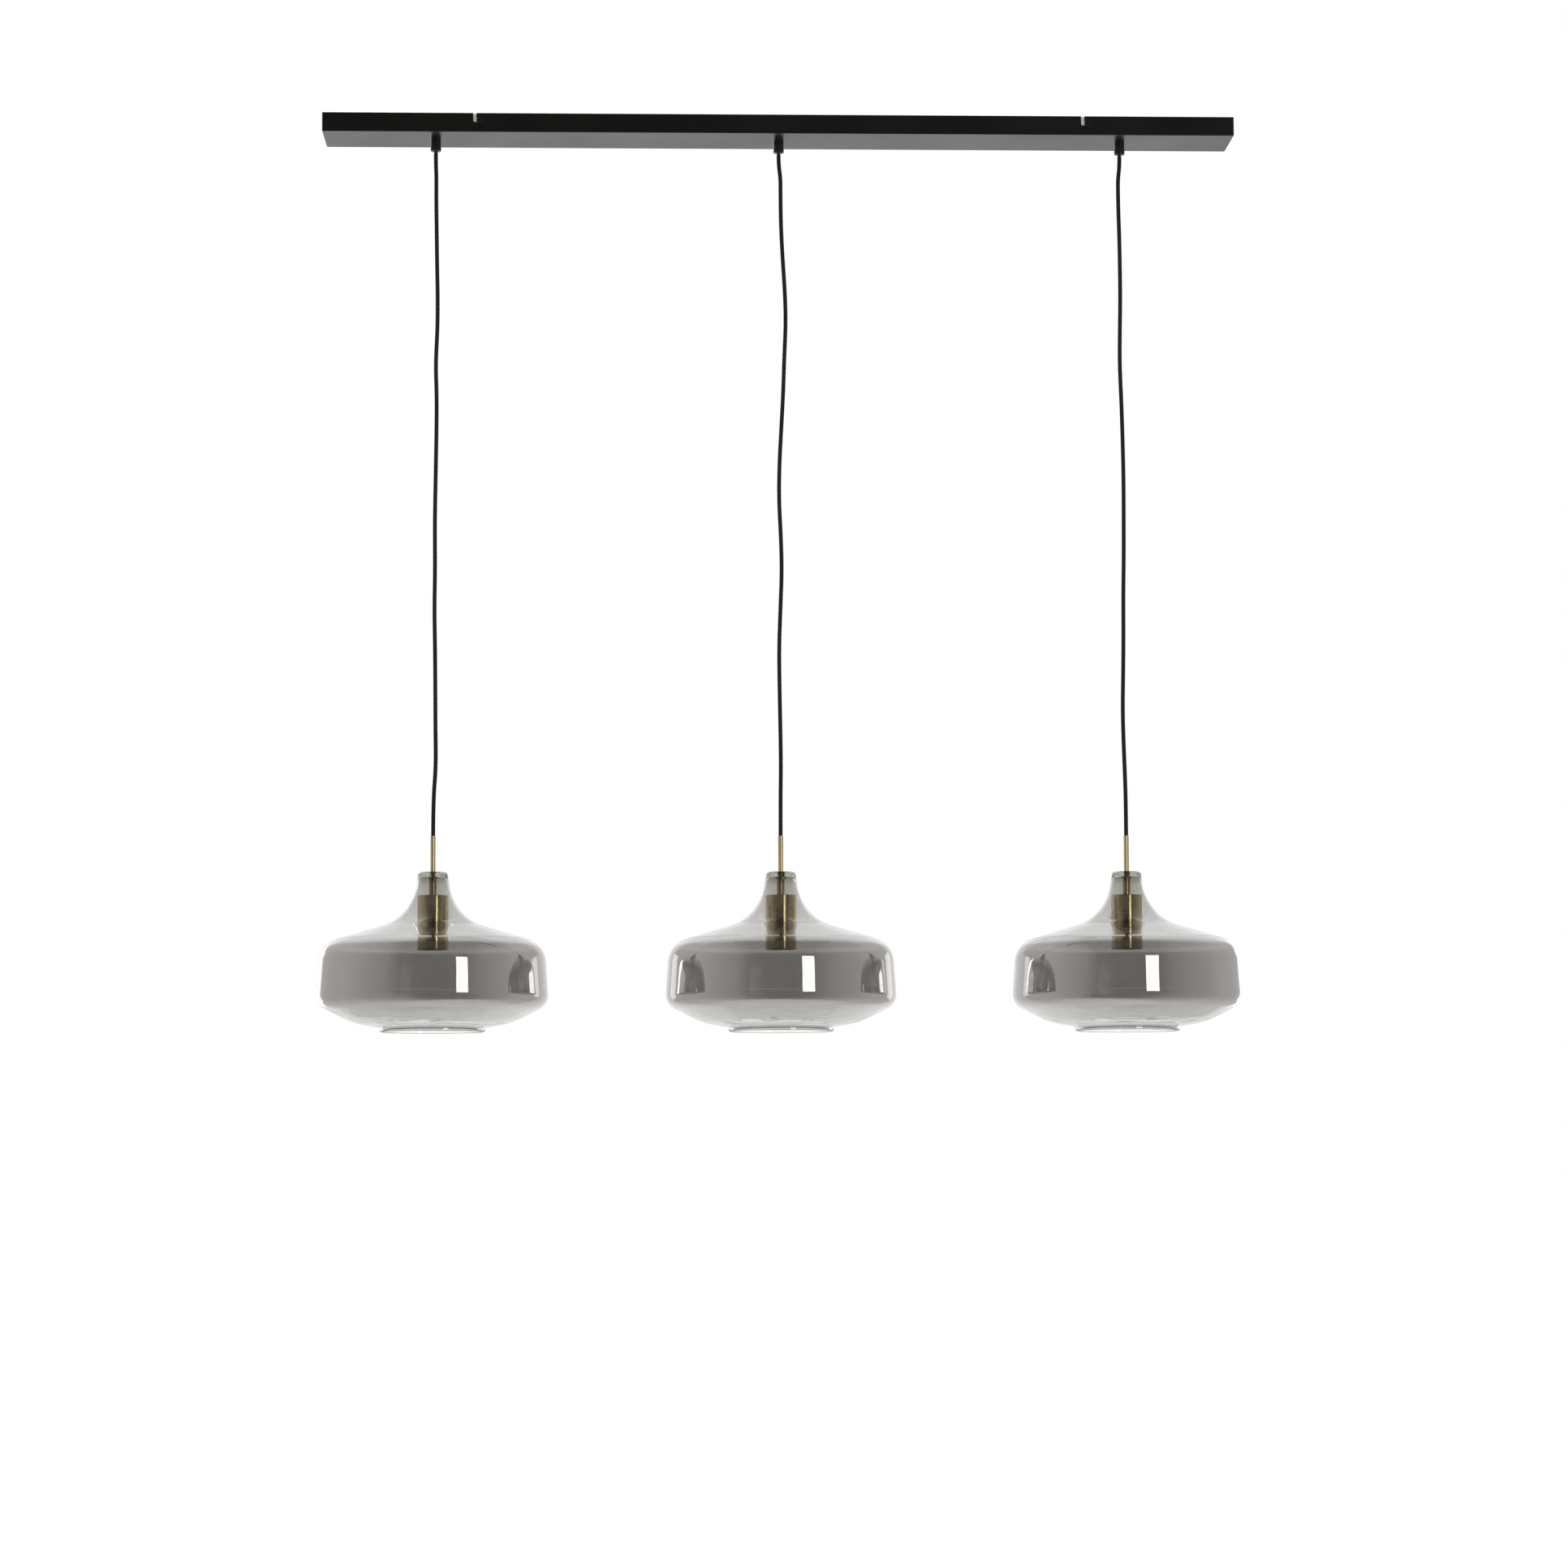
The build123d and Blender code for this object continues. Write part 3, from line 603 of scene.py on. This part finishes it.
class Finish(Nodes):
    """A material with one principled shader; a pattern on a socket goes before its plain value."""

    def __init__(self, name, colour, roughness, metallic=0.0):
        self.material = bpy.data.materials.new(name)
        self.material.use_nodes = True
        super().__init__(self.material.node_tree)
        self.sockets = self.tree.nodes["Principled BSDF"].inputs
        self.give("Base Color", (*colour, 1))
        self.give("Roughness", roughness)
        self.give("Metallic", metallic)
        self.place = self.node("ShaderNodeTexCoord").outputs["Object"]

    def give(self, socket, value):
        self.sockets[socket].default_value = value

    def clouds(self, scale, detail=3.0):
        made = self.node("ShaderNodeTexNoise")
        made.inputs["Scale"].default_value = scale
        made.inputs["Detail"].default_value = detail
        self.link(self.place, made.inputs["Vector"])
        return made.outputs["Fac"]

    def tint(self, share, dark, light):
        self.link(self.blend(share, dark, light), self.sockets["Base Color"])

    def bump(self, height, distance, strength):
        made = self.node("ShaderNodeBump")
        made.inputs["Strength"].default_value = strength
        made.inputs["Distance"].default_value = distance
        self.link(height, made.inputs["Height"])
        self.link(made.outputs["Normal"], self.sockets["Normal"])

    def mottle(self, scale, dark, light, rough):
        """Soft clouds in colour and roughness."""
        cloud = self.clouds(scale)
        self.tint(self.spread(cloud, *cloud_range), dark, light)
        self.link(self.spread(cloud, *cloud_range, *rough), self.sockets["Roughness"])


def bar_paint():
    paint = Finish("bar_paint", (0.0055, 0.0048, 0.0036), 0.33)
    paint.mottle(scale=9, dark=(0.0046, 0.004, 0.003), light=(0.0066, 0.0058, 0.0044), rough=(0.30, 0.36))
    paint.give("Specular IOR Level", 0.38)
    paint.bump(paint.clouds(scale=900, detail=2), distance=0.00004, strength=0.5)
    return paint.material


def black_plastic():
    plastic = Finish("black_plastic", (0.012, 0.012, 0.012), 0.3)
    plastic.mottle(scale=60, dark=(0.010, 0.010, 0.010), light=(0.014, 0.014, 0.014), rough=(0.24, 0.32))
    return plastic.material


def screw_black():
    black = Finish("screw_black", (0.02, 0.02, 0.021), 0.32, 0.6)
    black.mottle(scale=180, dark=(0.015, 0.015, 0.016), light=(0.028, 0.028, 0.029), rough=(0.26, 0.38))
    return black.material


def zinc():
    metal = Finish("zinc", (0.70, 0.69, 0.665), 0.5, 0.4)
    metal.mottle(scale=45, dark=(0.62, 0.61, 0.585), light=(0.76, 0.75, 0.725), rough=(0.42, 0.58))
    return metal.material


def terminal_plastic():
    plastic = Finish("terminal_plastic", (0.72, 0.72, 0.68), 0.5)
    plastic.mottle(scale=80, dark=(0.68, 0.68, 0.64), light=(0.75, 0.75, 0.71), rough=(0.45, 0.55))
    return plastic.material


def earth_wire():
    """Green insulation with yellow stripes."""
    wire = Finish("earth_wire", (0.06, 0.30, 0.05), 0.35)
    _, _, height = wire.parts(wire.place)
    stripe = wire.maths("SINE", wire.maths("MULTIPLY", height, stripe_pace))
    share = wire.spread(stripe, *stripe_edge)
    wire.tint(share, dark=(0.05, 0.28, 0.04), light=(0.75, 0.62, 0.03))
    return wire.material


def brass():
    metal = Finish("brass", (0.50, 0.40, 0.235), 0.06, 1.0)
    metal.mottle(scale=38, dark=(0.46, 0.365, 0.21), light=(0.54, 0.435, 0.26), rough=(0.045, 0.08))
    return metal.material


def plated():
    metal = Finish("plated_shell", (0.66, 0.63, 0.56), 0.22, 1.0)
    metal.mottle(scale=70, dark=(0.60, 0.57, 0.50), light=(0.70, 0.67, 0.60), rough=(0.17, 0.28))
    return metal.material


def silicone():
    soft = Finish("silicone", (0.75, 0.75, 0.72), 0.45)
    soft.mottle(scale=120, dark=(0.70, 0.70, 0.67), light=(0.78, 0.78, 0.75), rough=(0.40, 0.50))
    soft.give("Transmission Weight", 0.4)
    return soft.material


def porcelain():
    glaze = Finish("porcelain", (0.80, 0.79, 0.75), 0.18)
    glaze.mottle(scale=60, dark=(0.77, 0.76, 0.72), light=(0.82, 0.81, 0.77), rough=(0.14, 0.24))
    return glaze.material


def textile():
    """Black braid: two sets of fine diagonal yarns."""
    cloth = Finish("textile_cord", (0.012, 0.011, 0.010), 0.85)
    coords = cloth.node("ShaderNodeUVMap", uv_map="along")
    across, along, _ = cloth.parts(coords.outputs["UV"])
    yarns = []
    for operation in ("ADD", "SUBTRACT"):
        slant = cloth.maths(operation, across, along)
        yarns.append(cloth.maths("SINE", cloth.maths("MULTIPLY", slant, 2 * pi * braid_yarns)))
    weave = cloth.maths("MAXIMUM", *yarns)
    share = cloth.spread(weave, *weave_range)
    cloth.tint(share, dark=(0.007, 0.006, 0.0052), light=(0.027, 0.0235, 0.0205))
    cloth.bump(weave, distance=0.00012, strength=0.8)
    cloth.give("Specular IOR Level", 0.15)
    cloth.give("Sheen Weight", 0.02)
    cloth.give("Sheen Roughness", 0.4)
    return cloth.material


def smoked_glass():
    """Smoked glass with a half-mirrored band outside, paler above and below it and clear at the lip."""
    glass = Finish("smoked_glass", (0.75, 0.74, 0.73), 0.0)
    glass.give("Transmission Weight", 1.0)
    glass.give("IOR", 1.5)
    sideways, forwards, height = glass.parts(glass.place)
    depth = glass_bands[-1][0]
    share = glass.spread(glass.maths("SUBTRACT", glass_top, height), 0.0, depth)
    smoke = [(drop / depth, colour) for drop, colour, _ in glass_bands]
    mirror = [(drop / depth, [level] * 3) for drop, _, level in glass_bands]
    glass.link(glass.ramp(share, smoke), glass.sockets["Base Color"])
    normal = glass.node("ShaderNodeTexCoord").outputs["Normal"]
    faces_sideways, faces_forwards, _ = glass.parts(normal)
    outwards = glass.maths(
        "ADD",
        glass.maths("MULTIPLY", sideways, faces_sideways),
        glass.maths("MULTIPLY", forwards, faces_forwards),
    )
    outside = glass.maths("GREATER_THAN", outwards, 0.0)
    from_air = glass.maths("SUBTRACT", 1.0, glass.node("ShaderNodeNewGeometry").outputs["Backfacing"])
    coated = glass.maths("MULTIPLY", outside, from_air)
    glass.link(glass.maths("MULTIPLY", glass.ramp(share, mirror), coated), glass.sockets["Metallic"])
    return glass.material


def dress_nodes(materials):
    """The record's slot of each CAD node says which material it gets."""
    for part in frame["record"]["subparts"]:
        node = frame["nodes"][part["node"]]
        node.data.materials.clear()
        node.data.materials.append(materials[part["material_slot"]])


def light(name, place, target, width, height, level):
    """A soft rectangle of a given brightness, aimed at a point; sheets stand in for its reflections."""
    data = bpy.data.lights.new(name, "AREA")
    data.shape = "RECTANGLE"
    data.size = width
    data.size_y = height
    data.energy = level * pi * width * height
    lamp = bpy.data.objects.new(name, data)
    lamp.location = place
    lamp.rotation_euler = (Vector(target) - Vector(place)).to_track_quat("-Z", "Y").to_euler()
    lamp.visible_camera = False
    lamp.visible_glossy = False
    lamp.visible_transmission = False
    scene.collection.objects.link(lamp)


def seen_rays(nodes):
    """1 for rays that show the background, which are camera, glossy and transmitted ones."""
    path = nodes.node("ShaderNodeLightPath").outputs
    straight = nodes.maths("MAXIMUM", path["Is Camera Ray"], path["Is Glossy Ray"])
    return nodes.maths("MAXIMUM", straight, path["Is Transmission Ray"])


def build_world():
    world = bpy.data.worlds.new("studio")
    world.use_nodes = True
    scene.world = world
    nodes = Nodes(world.node_tree)
    background = nodes.tree.nodes["Background"]
    background.inputs["Color"].default_value = (*white, 1)
    strength = nodes.spread(seen_rays(nodes), 0.0, 1.0, to_low=world_level)
    nodes.link(strength, background.inputs["Strength"])


def bare_material(name):
    """A material with an empty tree, and the helpers for it."""
    material = bpy.data.materials.new(name)
    material.use_nodes = True
    material.node_tree.nodes.clear()
    return material, Nodes(material.node_tree)


def build_floor():
    """A pale floor that fades into the white background and that views from below look through."""
    corners = [(-1, -1), (1, -1), (1, 1), (-1, 1)]
    verts = [(floor_reach * x, floor_reach * y, floor_height) for x, y in corners]
    floor = add_mesh("floor", verts, [(0, 1, 2, 3)])
    pale, nodes = bare_material("pale_floor")
    diffuse = nodes.node("ShaderNodeBsdfDiffuse")
    diffuse.inputs["Color"].default_value = (*floor_colour, 1)
    glow = nodes.node("ShaderNodeEmission")
    far = nodes.node("ShaderNodeVectorMath", operation="LENGTH")
    nodes.link(nodes.node("ShaderNodeTexCoord").outputs["Object"], far.inputs[0])
    fade = nodes.spread(far.outputs["Value"], *floor_fade, to_low=floor_glow)
    share = nodes.maths("MULTIPLY", seen_rays(nodes), fade)
    lit = nodes.mix(share, diffuse.outputs[0], glow.outputs[0])
    below = nodes.node("ShaderNodeNewGeometry").outputs["Backfacing"]
    clear = nodes.node("ShaderNodeBsdfTransparent")
    nodes.show(nodes.mix(below, lit, clear.outputs[0]))
    floor.data.materials.append(pale)


def dim_paint():
    """Glow that follows the turn, and that fades to white where a sheet's second coordinate says so."""
    dim = Finish("dim_studio", (0, 0, 0), 1.0)
    dim.give("Specular IOR Level", 0.0)
    coords = dim.node("ShaderNodeUVMap", uv_map="along")
    turn_share, fade, _ = dim.parts(coords.outputs["UV"])
    stops = []
    for turn, level in dim_levels:
        colour = [level * (part + (1 - part) * level) for part in dim_hue]
        stops.append(((turn - dim_start) / dim_span, colour))
    dim.link(dim.blend(fade, dim.ramp(turn_share, stops), white), dim.sockets["Emission Color"])
    dim.give("Emission Strength", 1.0)
    return dim.material


def white_paint(name, level, bounces="Glossy Depth", fewest=1):
    """White glow that is only there for light with enough bounces of a kind behind it.

    Where more than one is asked for, it isn't there for light that has come through glass.
    """
    material, nodes = bare_material(name)
    path = nodes.node("ShaderNodeLightPath").outputs
    count = path[bounces]
    if fewest > 1:
        count = nodes.maths("MULTIPLY_ADD", path["Transmission Depth"], glass_passage, count)
    enough = nodes.maths("GREATER_THAN", count, fewest - 0.5)
    glow = nodes.node("ShaderNodeEmission")
    glow.inputs["Strength"].default_value = level
    clear = nodes.node("ShaderNodeBsdfTransparent")
    nodes.show(nodes.mix(enough, clear.outputs[0], glow.outputs[0]))
    return material


def reflected(sheet, paint):
    """Lets a sheet show only as a reflection, or through the glass."""
    sheet.data.materials.append(paint)
    sheet.visible_camera = False
    sheet.visible_diffuse = False
    sheet.visible_shadow = False


def edge(radius, height, back=0.0, fade=0.0):
    """An edge of a ring sheet: radius, height, shift back and fade to white."""
    return radius, height, back, fade


def ring_sheet(name, turns, inner, outer, paint):
    """A sheet between two turns and two edges."""
    verts, faces, uvs, places = [], [], [], []
    for step in range(ring_steps + 1):
        turn = turns[0] + (turns[1] - turns[0]) * step / ring_steps
        for radius, height, back, fade in (inner, outer):
            verts.append((radius * sin(radians(turn)), back - radius * cos(radians(turn)), height))
            places.append(((turn - dim_start) / dim_span, fade))
    for step in range(ring_steps):
        face = (2 * step, 2 * step + 2, 2 * step + 3, 2 * step + 1)
        faces.append(face)
        uvs += [places[corner] for corner in face]
    reflected(add_mesh(name, verts, faces, uvs), paint)


def upright_sheet(name, sides, heights, distance, paint):
    """A flat sheet behind the lamp, across the view."""
    left, right = sides
    foot, head = heights
    corners = [(left, foot), (right, foot), (right, head), (left, head)]
    sheet = add_mesh(name, [(x, distance, z) for x, z in corners], [(0, 1, 2, 3)])
    reflected(sheet, paint)


def build_dim_studio():
    dim = dim_paint()
    wall_foot = edge(dim_distance, sheet_ground)
    wall_head = edge(dim_distance, dim_head)
    meeting = edge(0.0, dim_head, back=dim_meeting)
    back_edge = edge(dim_back_distance, dim_head, fade=1.0)
    floor_start = edge(dim_floor_start, sheet_ground)
    floor_edge = edge(dim_floor_edge, sheet_ground, fade=dim_floor_white)
    ring_sheet("dim_wall", dim_front, wall_foot, wall_head, dim)
    ring_sheet("dim_ceiling", dim_front, meeting, wall_head, dim)
    ring_sheet("dim_behind", dim_back, meeting, back_edge, dim)
    ring_sheet("dim_floor", dim_front, floor_start, wall_foot, dim)
    ring_sheet("dim_floor_edge", dim_front, floor_edge, floor_start, dim)


def build_white_sheets():
    board_low = edge(board_distance, board_foot)
    board_high = edge(board_distance, board_head)
    ring_sheet("white_board", board_turns, board_low, board_high, white_paint("white_board", board_level))
    for panel, (foot, head, bounces) in enumerate(pale_panels):
        name = f"pale_front_{panel}"
        low = edge(pale_distance, foot)
        high = edge(pale_distance, head)
        ring_sheet(name, pale_turns, low, high, white_paint(name, pale_level, bounces))
    for panel, (left, right, foot, level) in enumerate(backdrop_panels):
        name = f"white_backdrop_{panel}"
        paint = white_paint(name, level)
        upright_sheet(name, (left, right), (foot, backdrop_head), backdrop_distance, paint)
    for panel, (left, right, level) in enumerate(screen_panels):
        name = f"bright_screen_{panel}"
        paint = white_paint(name, level, fewest=2)
        upright_sheet(name, (left, right), (screen_foot, screen_head), screen_distance, paint)


build_camera()
textile_material = textile()
for lamp_side, lamp_place in lamp_places.items():
    build_cords(lamp_side, lamp_place, textile_material)
glass_material = smoked_glass()
plated_material = plated()
build_glass(glass_material)
build_shells(plated_material)
dress_nodes({
    "bar_paint": bar_paint(),
    "screw_black": screw_black(),
    "zinc": zinc(),
    "black_plastic": black_plastic(),
    "terminal_plastic": terminal_plastic(),
    "textile_cord": textile_material,
    "earth_wire": earth_wire(),
    "brass": brass(),
    "plated_shell": plated_material,
    "silicone": silicone(),
    "smoked_glass": glass_material,
    "porcelain": porcelain(),
})
build_world()
build_floor()
build_dim_studio()
build_white_sheets()
for softbox, settings in softboxes.items():
    light(softbox, *settings)

scene.view_settings.view_transform = "Standard"
